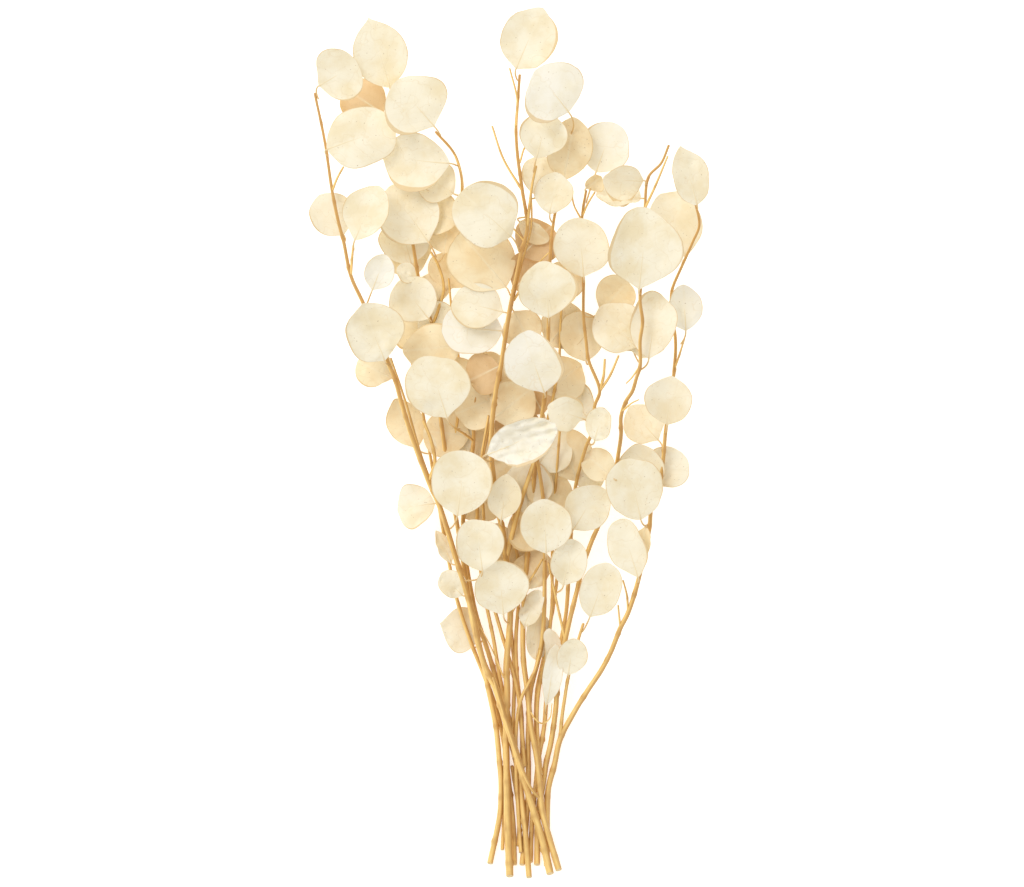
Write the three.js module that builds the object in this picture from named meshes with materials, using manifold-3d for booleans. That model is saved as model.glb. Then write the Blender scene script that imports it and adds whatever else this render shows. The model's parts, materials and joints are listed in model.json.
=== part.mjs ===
import * as THREE from 'three';
import { mergeVertices } from 'three/addons/utils/BufferGeometryUtils.js';
import Module from 'manifold-3d';

const wasm = await Module();
wasm.setup();

// A bunch of cut, bleached eucalyptus branches lying down. Millimetres: X across the bunch,
// Y from the cut ends towards the tips, Z up from the surface it lies on.

const leafThickness = 1.0;      // blade, from face to face
const stalkRadius = 0.8;        // leaf stalk
const jointGap = 0.3;           // air left between a stalk and the stem that carries it
const stemSides = 6;            // corners round a stem
const stalkLean = 0.6;          // how far back along the stem a stalk starts, as a share of its reach

// Blade outline: share of the length from base to tip, share of the half width there.
const bladeStations = [[0, 0.06], [0.1, 0.45], [0.28, 0.86], [0.5, 1], [0.72, 0.88], [0.9, 0.56], [1, 0.14]];

const tones = {
  wood: ['#e3b468', 0.5],
  white: ['#f8f3e4', 0.6],
  ivory: ['#f5e9c9', 0.6],
  tan: ['#e6cb9c', 0.65],
  brown: ['#d5ac76', 0.7],
};

// One record per branch. stem: route of the main wood. twigs: [radius at its foot, route] of every
// fork, each starting on the stem. leaves: [blade base, blade tip, width, roll in degrees about the
// length, cup (rims above the midrib), bend (middle above the ends), tone].
const branches = [
  {
    name: 'a', radius: [2.3, 1.1],
    stem: [[-17, -340, 2.5], [-9, -300, 4], [-8, -275, 5.2], [-9.5, -255, 6.2], [-12, -230, 7.5],
      [-18, -200, 9], [-22, -180, 11], [-30, -150, 15], [-38, -100, 22], [-46, -50, 24], [-54, 0, 25],
      [-60, 50, 27], [-63, 92, 29], [-70, 110, 31], [-75, 135, 33], [-80, 165, 34], [-88, 200, 34],
      [-93, 235, 34], [-96, 262, 37], [-95, 278, 41]],
    twigs: [[1.3, [[-63, 92, 29], [-54, 122, 34], [-58, 140, 38], [-64, 151, 42]]]],
    leaves: [
      [[-97, 283, 44], [-114, 339, 50], 45, 8, 4, 2, 'ivory'],
      [[-102, 262, 22], [-135, 285, 1], 38, 0, -3, 2, 'brown'],
      [[-66, 159, 43], [-97, 203, 46], 50, -8, 4, -2, 'ivory'],
    ],
  },
  {
    name: 'b', radius: [3, 1],
    stem: [[31.5, -348, 9.5], [25, -320, 10], [19, -300, 11], [13, -280, 12.5], [7, -260, 14],
      [1, -240, 15], [-6, -220, 16], [-12, -200, 17], [-22, -178, 19], [-31, -140, 24],
      [-36, -120, 28], [-43, -98, 32], [-53, -65, 38], [-58, -50, 41], [-66, -32, 45], [-78, 0, 50],
      [-86, 25, 54], [-93, 50, 57], [-98, 62, 58], [-108, 88, 60], [-119, 112, 60], [-128, 132, 58],
      [-134, 160, 56], [-138, 175, 55], [-143, 200, 53], [-149, 240, 50], [-157, 278, 46]],
    twigs: [
      [1.6, [[-66, -32, 45], [-61, -18, 48], [-64, 0, 50], [-70, 16, 51]]],
      [1.1, [[-128, 132, 58], [-127, 145, 60], [-126, 156, 61]]],
      [1.0, [[-143, 200, 53], [-139, 210, 55], [-134, 219, 57]]],
    ],
    leaves: [
      [[-154, 284, 48], [-122, 303, 58], 45, 10, 4, 1, 'ivory'],
      [[-147, 233, 59], [-93, 252, 58], 50, -6, -4, 3, 'ivory'],
      [[-134, 165, 45], [-154, 197, 42], 34, 0, 4, 0, 'ivory'],
      [[-125, 160, 63], [-105, 204, 58], 38, -15, 4, 0, 'ivory'],
      [[-111, 120, 66], [-100, 149, 70], 24, 15, 2, 1, 'white'],
      [[-101, 64, 66], [-119, 110, 74], 50, 5, 6, -2, 'ivory'],
      [[-61, -50, 36], [-92, -56, 26], 37, 15, 3, 2, 'ivory'],
      [[-43, -60, 48], [-36, -7, 58], 50, 0, 4, -2, 'ivory'],
    ],
  },
  {
    name: 'c', radius: [3, 1.1],
    stem: [[-1, -350, 8], [-3, -300, 8.5], [-3.5, -270, 9], [-4, -240, 9.2], [-3, -200, 10],
      [-3.5, -180, 11.5], [-0.5, -140, 16], [-2, -120, 20], [-4, -95, 25], [-7, -70, 30],
      [-10, -58, 33], [-14, -30, 40], [-16, 0, 48], [-12, 40, 56], [-8, 60, 60], [-5, 80, 62],
      [-2, 100, 64], [4, 130, 66], [8, 150, 67], [13, 170, 68], [9, 200, 68], [5, 230, 68],
      [4, 250, 68], [5, 265, 68], [7, 292, 68]],
    twigs: [
      [2.2, [[-4, -95, 25], [2, -70, 30], [8, -48, 36], [14, -30, 41], [20, -12, 45]]],
      [1.1, [[-0.5, -140, 16], [10, -120, 22], [20, -104, 27], [25, -95, 30]]],
      [1.2, [[13, 170, 68], [15, 190, 71], [17, 205, 74], [20, 219, 76]]],
      [1.0, [[9, 200, 68], [-6, 225, 70], [-15, 251, 72]]],
      [0.9, [[4, 250, 68], [5, 272, 72], [-1, 297, 76]]],
    ],
    leaves: [
      [[4, 297, 70], [26, 346, 76], 44, -8, 4, 2, 'ivory'],
      [[20, 225, 79], [29, 262, 74], 40, 5, 3, 3, 'ivory'],
      [[0, 163, 76], [-41, 200, 84], 51, -5, 4, 2, 'ivory'],
      [[-4, 123, 60], [-42, 168, 52], 54, 5, -4, 2, 'tan'],
      [[-7, 88, 52], [-56, 92, 46], 42, 0, 3, 2, 'white'],
      [[-20, -11, 61.5], [38, 15, 80], 35, 4, 6, 3, 'white'],
      [[-8, -64, 40], [-3, -26, 44], 27, 10, 3, 1, 'ivory'],
      [[-6, -140, 27], [-11, -95, 34], 46, 5, 3, 1, 'ivory'],
    ],
  },
  {
    name: 'd', radius: [2.3, 1],
    stem: [[14.5, -351, 7.5], [12, -320, 7.3], [10, -300, 7], [8.5, -285, 5.2], [5.5, -265, 3],
      [1, -245, 2.5], [-5.5, -210, 2.5], [-9, -200, 3], [-20, -165, 6], [-28, -140, 9],
      [-34, -110, 13], [-38, -80, 16], [-38, -50, 18], [-33, -20, 24], [-30, 0, 29], [-30, 20, 34],
      [-26, 50, 40], [-22, 75, 43], [-19, 97, 44], [-24, 120, 42], [-34, 150, 40], [-42, 180, 42],
      [-39, 203, 45], [-41, 218, 48], [-46, 231, 51], [-60, 247, 55]],
    twigs: [[1.1, [[-30, 0, 29], [-38, 6, 40], [-45, 10, 50]]]],
    leaves: [
      [[-61, 251, 60], [-92, 286, 66], 56, 5, 4, 2, 'ivory'],
      [[-49, 222, 54], [-104, 228, 46], 46, -10, 5, 2, 'ivory'],
      [[-51, 18, 56], [-67, 68, 63], 52, 0, 4, 2, 'ivory'],
      [[-37, 77, 40], [-86, 72, 35], 40, 0, -3, 2, 'tan'],
    ],
  },
  {
    name: 'e', radius: [2.6, 1],
    stem: [[38.5, -345, 8.5], [31, -320, 9], [25.5, -300, 9.5], [24, -288, 9.5], [22.5, -270, 9.5],
      [20, -250, 9.5], [16, -230, 10], [14, -210, 11], [13, -200, 11.5], [10, -175, 12],
      [10, -140, 14], [12, -110, 18], [14, -80, 22], [17, -50, 28], [20, -12, 36], [24, 15, 44],
      [27, 35, 50], [29, 60, 56], [30, 94, 62], [31, 140, 62], [34, 175, 60], [40, 205, 58],
      [44, 235, 58], [47, 254, 60]],
    twigs: [[1.2, [[24, -288, 9.5], [20, -284, 13], [15, -277, 17.5], [9, -264, 19.5], [2, -244, 20.5],
      [-5, -222, 21.5], [-10, -205, 22.5], [-14, -190, 24]]]],
    leaves: [
      [[46, 262, 82], [20, 294, 92], 55, 8, 4, 2, 'white'],
      [[31, 181, 66], [38, 214, 68], 32, -5, 3, 1, 'ivory'],
      [[30, 98, 70], [26, 143, 76], 48, 5, 4, 2, 'ivory'],
      [[27, 38, 60], [10, 88, 78], 46, 0, 5, 3, 'white'],
    ],
  },
  {
    name: 'f', radius: [2.5, 1],
    stem: [[29, -342, 3], [29, -300, 2.8], [30, -280, 2.8], [35, -260, 3], [39.5, -240, 4],
      [52, -216, 7], [62, -200, 10], [72, -185, 13], [80, -170, 16], [88, -150, 20], [94, -138, 22],
      [100, -120, 25], [105, -100, 27], [108, -85, 28], [111, -70, 29], [113, -50, 30],
      [119, -35, 30], [122, -15, 30], [124, 8, 30], [128, 35, 29], [131, 58, 29], [132, 80, 29],
      [129, 105, 29], [129, 120, 29], [137, 140, 30], [146, 160, 32], [151, 173, 34], [148, 190, 37]],
    twigs: [
      [1.5, [[39.5, -240, 4], [41, -222, 7], [43, -208, 10], [46, -190, 13], [54, -160, 17],
        [58, -147, 19]]],
      [0.9, [[88, -150, 20], [87, -142, 23], [86, -132, 26]]],
      [0.9, [[94, -138, 22], [93, -124, 26], [90, -112, 29]]],
      [0.9, [[131, 58, 29], [134, 66, 32], [139, 82, 38]]],
    ],
    leaves: [
      [[149, 189, 44], [135, 236, 46], 31, 15, 3, 1, 'ivory'],
      [[140, 148, 25], [124, 200, 1], 44, 0, -3, 2, 'ivory'],
      [[140, 88, 41], [138, 124, 46], 29, 0, 3, 1, 'white'],
      [[125, 13, 38], [129, 52, 44], 40, -8, 4, 1, 'ivory'],
      [[119, 0, 20], [95, 27, 1], 34, 0, -3, 2, 'ivory'],
      [[115, -34, 22], [137, -9, 22], 36, 0, 3, 1, 'ivory'],
      [[104, -63, 38], [92, -13, 46], 48, 10, 4, 1, 'ivory'],
      [[102, -110, 34], [88, -62, 40], 33, -15, 3, 1, 'ivory'],
      [[63, -142, 24], [79, -98, 33], 34, 10, 3, 2, 'ivory'],
    ],
  },
  {
    name: 'g', radius: [2.4, 1],
    stem: [[21, -341, 2.6], [22, -300, 2.5], [26, -275, 2.6], [28.5, -258, 3.2], [32, -243, 4.5],
      [36, -215, 8], [37, -200, 10], [39.5, -180, 14], [43.5, -160, 20], [48, -140, 21.5],
      [53, -120, 22.5], [58, -100, 24], [65, -80, 26], [71, -66, 28], [78, -40, 31], [84, -22, 36],
      [86, -10, 42], [88, 5, 50], [88, 20, 57], [92, 32, 64], [97, 40, 69], [100, 50, 70],
      [103, 60, 70], [103, 80, 70], [105, 95, 70], [103, 112, 70], [105, 145, 68], [107, 186, 64],
      [110, 211, 62], [120, 222, 61], [126, 236, 60]],
    twigs: [
      [1.1, [[43.5, -160, 20], [39, -140, 24], [34, -117, 30], [30, -98, 35]]],
      [1.0, [[107, 186, 64], [115, 203, 68], [125, 227, 71]]],
    ],
    leaves: [
      [[106, 208, 68], [73, 209, 70], 40, -55, 3, 1, 'ivory'],
      [[102, 120, 76], [108, 185, 86], 60, 5, 5, 2, 'ivory'],
      [[100, 75, 51], [72, 106, 42], 45, -5, 3, 2, 'ivory'],
      [[110, 65, 62], [118, 118, 56], 38, -8, 3, 1, 'ivory'],
      [[42, -116, 33], [49, -78, 35], 30, 18, 3, 1, 'ivory'],
    ],
  },
  {
    name: 'h', radius: [2.3, 1.4],
    stem: [[9, -341, 2.5], [12, -310, 2.4], [14, -280, 2.4], [14, -235, 3], [16, -200, 5],
      [21, -180, 9], [25, -160, 14], [26.5, -140, 19], [27, -100, 28], [27, -60, 34], [25, -40, 37],
      [21, -14, 40]],
    twigs: [],
    leaves: [
      [[28, -90, 42], [26, -46, 48], 42, 5, 4, 2, 'ivory'],
    ],
  },
  {
    name: 'k', radius: [2, 1],
    stem: [[15.5, -339, 2.3], [16.2, -320, 2.3], [17.3, -300, 2.3], [19.5, -280, 2.3], [22, -258, 2.3],
      [27, -228, 2.4], [29, -205, 3.5], [38, -170, 7], [44, -140, 12], [46, -115, 16], [48, -80, 22],
      [50, -50, 30], [53, -30, 36], [60, -5, 44], [66, 10, 48], [67, 28, 50], [71, 40, 52],
      [62, 65, 54], [60, 80, 54], [58, 100, 53], [58, 128, 52], [57, 180, 50], [60, 200, 52]],
    twigs: [
      [1.2, [[71, 40, 52], [74, 52, 54], [75, 65, 55]]],
      [1.1, [[71, 40, 52], [79, 52, 53], [86, 68, 54]]],
      [0.9, [[57, 180, 50], [61, 189, 51], [67, 199, 52]]],
    ],
    leaves: [
      [[68, 215, 57], [82, 254, 59], 41, -8, 4, 1, 'white'],
      [[58, 131, 59], [54, 178, 66], 46, 0, 4, 2, 'ivory'],
      [[57, 18, 58], [29, 28, 66], 30, 0, 4, 2, 'ivory'],
      [[67, 0, 57], [75, 27, 64], 23, -25, 3, 1, 'ivory'],
      [[50, -71, 34], [71, -36, 43], 38, 5, 3, 1, 'ivory'],
      [[28, -213, 14], [36, -162, 22], 16, 15, 2, 1, 'white'],
    ],
  },
  {
    name: 'l', radius: [2, 1],
    stem: [[3, -341, 2.3], [2, -310, 2.2], [-1, -280, 2.2], [-5, -248, 2.2], [-12, -215, 2.4],
      [-22, -188, 3.5], [-33, -160, 5.5], [-44, -125, 8], [-53, -80, 10], [-60, -40, 12], [-67, 0, 14],
      [-74, 40, 16], [-84, 80, 18]],
    twigs: [],
    leaves: [
      [[-75, -6, 14], [-93, 32, 1], 30, 0, -3, 2, 'tan'],
      [[-23, -156, 2.3], [-57, -147, 1.6], 38, 0, 0.5, 0.2, 'ivory'],
    ],
  },
];

const vector = (point) => new THREE.Vector3(...point);

/** A closed solid through a row of rings: a straight prism whose layers are moved onto the rings. */
function sweep(rings) {
  const sides = rings[0].length;
  const bands = rings.length - 1;
  const turn = (Math.PI * 2) / sides;
  const outline = Array.from({ length: sides }, (_, corner) =>
    new THREE.Vector2(Math.cos(corner * turn), Math.sin(corner * turn)));
  const prism = new THREE.ExtrudeGeometry(new THREE.Shape(outline),
    { depth: bands, steps: bands, bevelEnabled: false });
  const position = prism.attributes.position;
  for (let i = 0; i < position.count; i++) {
    const corner = Math.round(Math.atan2(position.getY(i), position.getX(i)) / turn);
    const spot = rings[Math.round(position.getZ(i))][(corner + sides) % sides];
    position.setXYZ(i, spot.x, spot.y, spot.z);
  }
  prism.deleteAttribute('normal');
  prism.deleteAttribute('uv');
  return mergeVertices(prism, 1e-4);
}

/** The route of a piece of wood as a smooth curve with a radius that tapers from foot to tip. */
function wood(route, foot, tip) {
  const curve = new THREE.CatmullRomCurve3(route.map(vector), false, 'centripetal');
  return { curve, length: curve.getLength(), radiusAt: (share) => foot + (tip - foot) * share };
}

/** Round solid along a piece of wood, with a ring at every point of its route. */
function tube({ curve, radiusAt }) {
  const last = curve.points.length - 1;
  let across = new THREE.Vector3(1, 0, 0);
  const rings = curve.points.map((centre, step) => {
    const along = curve.getTangent(step / last);
    across = across.addScaledVector(along, -across.dot(along)).normalize();
    const up = along.clone().cross(across);
    const radius = radiusAt(step / last);
    return Array.from({ length: stemSides }, (_, side) => {
      const angle = (side / stemSides) * Math.PI * 2;
      return centre.clone().addScaledVector(across, radius * Math.cos(angle))
        .addScaledVector(up, radius * Math.sin(angle));
    });
  });
  return sweep(rings);
}

/** Six corners of a flat ring: left rim, middle, right rim on top, then back underneath. */
function leafRing(centre, side, normal, halfWidth, rimLift, rimHalf, middleHalf) {
  const corner = (across, up) => centre.clone().addScaledVector(side, across).addScaledVector(normal, up);
  return [
    corner(halfWidth, rimLift - rimHalf), corner(halfWidth, rimLift + rimHalf), corner(0, middleHalf),
    corner(-halfWidth, rimLift + rimHalf), corner(-halfWidth, rimLift - rimHalf), corner(0, -middleHalf),
  ];
}

/** Where a stalk leaves the wood: set back along the stem from the point nearest the blade base. */
function stalkFoot(woods, base) {
  let best = { distance: Infinity };
  for (const piece of woods) {
    for (let i = 0; i <= 200; i++) {
      const distance = piece.curve.getPointAt(i / 200).distanceTo(base);
      if (distance < best.distance) best = { piece, share: i / 200, distance };
    }
  }
  const { piece, share, distance } = best;
  const start = Math.max(0, share - (stalkLean * distance) / piece.length);
  const centre = piece.curve.getPointAt(start);
  const along = piece.curve.getTangentAt(start);
  const outward = base.clone().sub(centre);
  outward.addScaledVector(along, -outward.dot(along)).normalize();
  const reach = piece.radiusAt(start) + stalkRadius + jointGap;
  return centre.addScaledVector(outward, reach);
}

/** Leaf: a round stalk from the wood that opens into a thin, cupped, ovate blade. */
function leaf(woods, [baseSpot, tipSpot, width, roll, cup, bend]) {
  const base = vector(baseSpot);
  const run = vector(tipSpot).sub(base);
  const axis = run.clone().normalize();
  const normal = new THREE.Vector3(0, 0, 1).addScaledVector(axis, -axis.z).normalize();
  normal.applyAxisAngle(axis, THREE.MathUtils.degToRad(roll));
  const side = normal.clone().cross(axis);
  const foot = stalkFoot(woods, base);
  const bow = base.clone().addScaledVector(axis, -0.45 * base.distanceTo(foot));
  const stalk = new THREE.QuadraticBezierCurve3(foot, bow, base);
  const rings = [0, 0.5].map((share) => {
    const along = stalk.getTangent(share);
    const across = side.clone().addScaledVector(along, -side.dot(along)).normalize();
    return leafRing(stalk.getPoint(share), across, along.clone().cross(across), stalkRadius * 0.87,
      0, stalkRadius * 0.5, stalkRadius);
  });
  for (const [along, share] of bladeStations) {
    const centre = base.clone().addScaledVector(run, along)
      .addScaledVector(normal, bend * 4 * along * (1 - along));
    const half = Math.max(width * 0.5 * share, stalkRadius * 0.87);
    rings.push(leafRing(centre, side, normal, half, cup * share * share, leafThickness * 0.4,
      leafThickness * 0.6));
  }
  return sweep(rings);
}

const toManifold = (geometry) => new wasm.Manifold(new wasm.Mesh({
  numProp: 3,
  vertProperties: new Float32Array(geometry.attributes.position.array),
  triVerts: new Uint32Array(geometry.index.array),
}));

/** One closed solid from a stem and the twigs that fork from it. */
function join(tubes) {
  const whole = tubes.map(toManifold).reduce((sum, next) => sum.add(next)).getMesh();
  const geometry = new THREE.BufferGeometry();
  geometry.setAttribute('position', new THREE.BufferAttribute(new Float32Array(whole.vertProperties), 3));
  geometry.setIndex(new THREE.BufferAttribute(new Uint32Array(whole.triVerts), 1));
  return mergeVertices(geometry, 1e-4);
}

const bunch = new THREE.Group();
bunch.name = 'eucalyptus_bunch';

/** Adds a named piece with its own colour. */
function addPiece(name, geometry, tone) {
  const [color, roughness] = tones[tone];
  const mesh = new THREE.Mesh(geometry, new THREE.MeshStandardMaterial({ color, roughness, metalness: 0 }));
  mesh.name = name;
  bunch.add(mesh);
}

for (const { name, radius, stem, twigs, leaves } of branches) {
  const woods = [wood(stem, ...radius), ...twigs.map(([foot, route]) => wood(route, foot, foot * 0.75))];
  addPiece(`branch_${name}`, join(woods.map(tube)), 'wood');
  leaves.forEach((blade, i) => addPiece(`leaf_${name}_${i + 1}`, leaf(woods, blade), blade[6]));
}

// The origin sits under the middle of the bunch, on the surface it lies on.
const bounds = new THREE.Box3().setFromObject(bunch);
const middle = bounds.getCenter(new THREE.Vector3());
for (const mesh of bunch.children) mesh.geometry.translate(-middle.x, -middle.y, -bounds.min.z);

export default bunch;
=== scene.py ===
import json
import math

import bpy
import numpy as np
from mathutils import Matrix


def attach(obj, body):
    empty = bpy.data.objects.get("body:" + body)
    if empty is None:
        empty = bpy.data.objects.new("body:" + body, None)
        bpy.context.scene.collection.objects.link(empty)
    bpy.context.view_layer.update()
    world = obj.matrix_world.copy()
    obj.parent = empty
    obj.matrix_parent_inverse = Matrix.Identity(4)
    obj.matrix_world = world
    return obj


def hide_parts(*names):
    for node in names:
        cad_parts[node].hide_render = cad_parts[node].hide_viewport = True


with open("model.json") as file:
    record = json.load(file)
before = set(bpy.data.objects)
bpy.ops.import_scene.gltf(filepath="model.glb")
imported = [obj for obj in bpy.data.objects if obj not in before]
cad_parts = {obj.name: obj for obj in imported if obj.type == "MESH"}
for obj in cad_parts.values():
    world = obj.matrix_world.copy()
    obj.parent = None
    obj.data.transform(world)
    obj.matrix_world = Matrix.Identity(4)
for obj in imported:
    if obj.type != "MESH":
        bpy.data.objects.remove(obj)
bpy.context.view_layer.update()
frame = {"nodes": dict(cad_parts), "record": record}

# A bunch of cut, bleached eucalyptus branches lying down. +Y runs from the cut ends to the tips.
# Wood routes are in millimetres in the bunch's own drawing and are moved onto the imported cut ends;
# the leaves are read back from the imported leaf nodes.

mm = 0.001
rng = np.random.default_rng(17)

wood = {
    "sides": 18,         # corners round a stem
    "step": 1.6,         # mm between rings
    "knotGap": 31.0,     # mm from one leaf scar to the next
    "knotSwell": 0.15,   # how much a scar thickens the wood
    "budHeight": 0.45,   # height of the bud on one side of a scar, as a share of the radius
    "scarLength": 2.6,   # mm over which a scar's swelling fades
    "budLength": 1.5,    # mm over which a bud fades along the wood
    "budTurn": 0.45,     # radians over which a bud fades round the wood
    "ridge": 0.035,      # depth of the lengthwise ridges, as a share of the radius
    "cutSlant": 0.45,    # how far a cut leans, as a share of the height across it
}

# stem: [foot radius, tip radius, route], then each twig as [foot radius, route]
branches = {
    "a": [[2.3, 1.1, [[-17, -340, 2.5], [-9, -300, 4], [-8, -275, 5.2], [-9.5, -255, 6.2],
                      [-12, -230, 7.5], [-18, -200, 9], [-22, -180, 11], [-30, -150, 15],
                      [-38, -100, 22], [-46, -50, 24], [-54, 0, 25], [-60, 50, 27], [-63, 92, 29],
                      [-70, 110, 31], [-75, 135, 33], [-80, 165, 34], [-88, 200, 34],
                      [-93, 235, 34], [-96, 262, 37], [-95, 278, 41]]],
          [1.3, [[-63, 92, 29], [-54, 122, 34], [-58, 140, 38], [-64, 151, 42]]]],
    "b": [[3, 1, [[31.5, -348, 9.5], [25, -320, 10], [19, -300, 11], [13, -280, 12.5], [7, -260, 14],
                  [1, -240, 15], [-6, -220, 16], [-12, -200, 17], [-22, -178, 19], [-31, -140, 24],
                  [-36, -120, 28], [-43, -98, 32], [-53, -65, 38], [-58, -50, 41], [-66, -32, 45],
                  [-78, 0, 50], [-86, 25, 54], [-93, 50, 57], [-98, 62, 58], [-108, 88, 60],
                  [-119, 112, 60], [-128, 132, 58], [-134, 160, 56], [-138, 175, 55],
                  [-143, 200, 53], [-149, 240, 50], [-157, 278, 46]]],
          [1.6, [[-66, -32, 45], [-61, -18, 48], [-64, 0, 50], [-70, 16, 51]]],
          [1.1, [[-128, 132, 58], [-127, 145, 60], [-126, 156, 61]]],
          [1.0, [[-143, 200, 53], [-139, 210, 55], [-134, 219, 57]]]],
    "c": [[3, 1.1, [[-1, -350, 8], [-3, -300, 8.5], [-3.5, -270, 9], [-4, -240, 9.2], [-3, -200, 10],
                    [-3.5, -180, 11.5], [-0.5, -140, 16], [-2, -120, 20], [-4, -95, 25],
                    [-7, -70, 30], [-10, -58, 33], [-14, -30, 40], [-16, 0, 48], [-12, 40, 56],
                    [-8, 60, 60], [-5, 80, 62], [-2, 100, 64], [4, 130, 66], [8, 150, 67],
                    [13, 170, 68], [9, 200, 68], [5, 230, 68], [4, 250, 68], [5, 265, 68],
                    [7, 292, 68]]],
          [2.2, [[-4, -95, 25], [2, -70, 30], [8, -48, 36], [14, -30, 41], [20, -12, 45]]],
          [1.1, [[-0.5, -140, 16], [10, -120, 22], [20, -104, 27], [25, -95, 30]]],
          [1.2, [[13, 170, 68], [15, 190, 71], [17, 205, 74], [20, 219, 76]]],
          [1.0, [[9, 200, 68], [-6, 225, 70], [-15, 251, 72]]],
          [0.9, [[4, 250, 68], [5, 272, 72], [-1, 297, 76]]]],
    "d": [[2.3, 1, [[14.5, -351, 7.5], [12, -320, 7.3], [10, -300, 7], [8.5, -285, 5.2],
                    [5.5, -265, 3], [1, -245, 2.5], [-5.5, -210, 2.5], [-9, -200, 3],
                    [-20, -165, 6], [-28, -140, 9], [-34, -110, 13], [-38, -80, 16],
                    [-38, -50, 18], [-33, -20, 24], [-30, 0, 29], [-30, 20, 34], [-26, 50, 40],
                    [-22, 75, 43], [-19, 97, 44], [-24, 120, 42], [-34, 150, 40], [-42, 180, 42],
                    [-39, 203, 45], [-41, 218, 48], [-46, 231, 51], [-60, 247, 55]]],
          [1.1, [[-30, 0, 29], [-38, 6, 40], [-45, 10, 50]]]],
    "e": [[2.6, 1, [[38.5, -345, 8.5], [31, -320, 9], [25.5, -300, 9.5], [24, -288, 9.5],
                    [22.5, -270, 9.5], [20, -250, 9.5], [16, -230, 10], [14, -210, 11],
                    [13, -200, 11.5], [10, -175, 12], [10, -140, 14], [12, -110, 18],
                    [14, -80, 22], [17, -50, 28], [20, -12, 36], [24, 15, 44], [27, 35, 50],
                    [29, 60, 56], [30, 94, 62], [31, 140, 62], [34, 175, 60], [40, 205, 58],
                    [44, 235, 58], [47, 254, 60]]],
          [1.2, [[24, -288, 9.5], [20, -284, 13], [15, -277, 17.5], [9, -264, 19.5],
                 [2, -244, 20.5], [-5, -222, 21.5], [-10, -205, 22.5], [-14, -190, 24]]]],
    "f": [[2.5, 1, [[29, -342, 3], [29, -300, 2.8], [30, -280, 2.8], [35, -260, 3], [39.5, -240, 4],
                    [52, -216, 7], [62, -200, 10], [72, -185, 13], [80, -170, 16], [88, -150, 20],
                    [94, -138, 22], [100, -120, 25], [105, -100, 27], [108, -85, 28],
                    [111, -70, 29], [113, -50, 30], [119, -35, 30], [122, -15, 30], [124, 8, 30],
                    [128, 35, 29], [131, 58, 29], [132, 80, 29], [129, 105, 29], [129, 120, 29],
                    [137, 140, 30], [146, 160, 32], [151, 173, 34], [148, 190, 37]]],
          [1.5, [[39.5, -240, 4], [41, -222, 7], [43, -208, 10], [46, -190, 13], [54, -160, 17],
                 [58, -147, 19]]],
          [0.9, [[88, -150, 20], [87, -142, 23], [86, -132, 26]]],
          [0.9, [[94, -138, 22], [93, -124, 26], [90, -112, 29]]],
          [0.9, [[131, 58, 29], [134, 66, 32], [139, 82, 38]]]],
    "g": [[2.4, 1, [[21, -341, 2.6], [22, -300, 2.5], [26, -275, 2.6], [28.5, -258, 3.2],
                    [32, -243, 4.5], [36, -215, 8], [37, -200, 10], [39.5, -180, 14],
                    [43.5, -160, 20], [48, -140, 21.5], [53, -120, 22.5], [58, -100, 24],
                    [65, -80, 26], [71, -66, 28], [78, -40, 31], [84, -22, 36], [86, -10, 42],
                    [88, 5, 50], [88, 20, 57], [92, 32, 64], [97, 40, 69], [100, 50, 70],
                    [103, 60, 70], [103, 80, 70], [105, 95, 70], [103, 112, 70], [105, 145, 68],
                    [107, 186, 64], [110, 211, 62], [120, 222, 61], [126, 236, 60]]],
          [1.1, [[43.5, -160, 20], [39, -140, 24], [34, -117, 30], [30, -98, 35]]],
          [1.0, [[107, 186, 64], [115, 203, 68], [125, 227, 71]]]],
    "h": [[2.3, 1.4, [[9, -341, 2.5], [12, -310, 2.4], [14, -280, 2.4], [14, -235, 3],
                      [16, -200, 5], [21, -180, 9], [25, -160, 14], [26.5, -140, 19],
                      [27, -100, 28], [27, -60, 34], [25, -40, 37], [21, -14, 40]]]],
    "k": [[2, 1, [[15.5, -339, 2.3], [16.2, -320, 2.3], [17.3, -300, 2.3], [19.5, -280, 2.3],
                  [22, -258, 2.3], [27, -228, 2.4], [29, -205, 3.5], [38, -170, 7], [44, -140, 12],
                  [46, -115, 16], [48, -80, 22], [50, -50, 30], [53, -30, 36], [60, -5, 44],
                  [66, 10, 48], [67, 28, 50], [71, 40, 52], [62, 65, 54], [60, 80, 54],
                  [58, 100, 53], [58, 128, 52], [57, 180, 50], [60, 200, 52]]],
          [1.2, [[71, 40, 52], [74, 52, 54], [75, 65, 55]]],
          [1.1, [[71, 40, 52], [79, 52, 53], [86, 68, 54]]],
          [0.9, [[57, 180, 50], [61, 189, 51], [67, 199, 52]]]],
    "l": [[2, 1, [[3, -341, 2.3], [2, -310, 2.2], [-1, -280, 2.2], [-5, -248, 2.2],
                  [-12, -215, 2.4], [-22, -188, 3.5], [-33, -160, 5.5], [-44, -125, 8],
                  [-53, -80, 10], [-60, -40, 12], [-67, 0, 14], [-74, 40, 16], [-84, 80, 18]]]],
}

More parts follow.
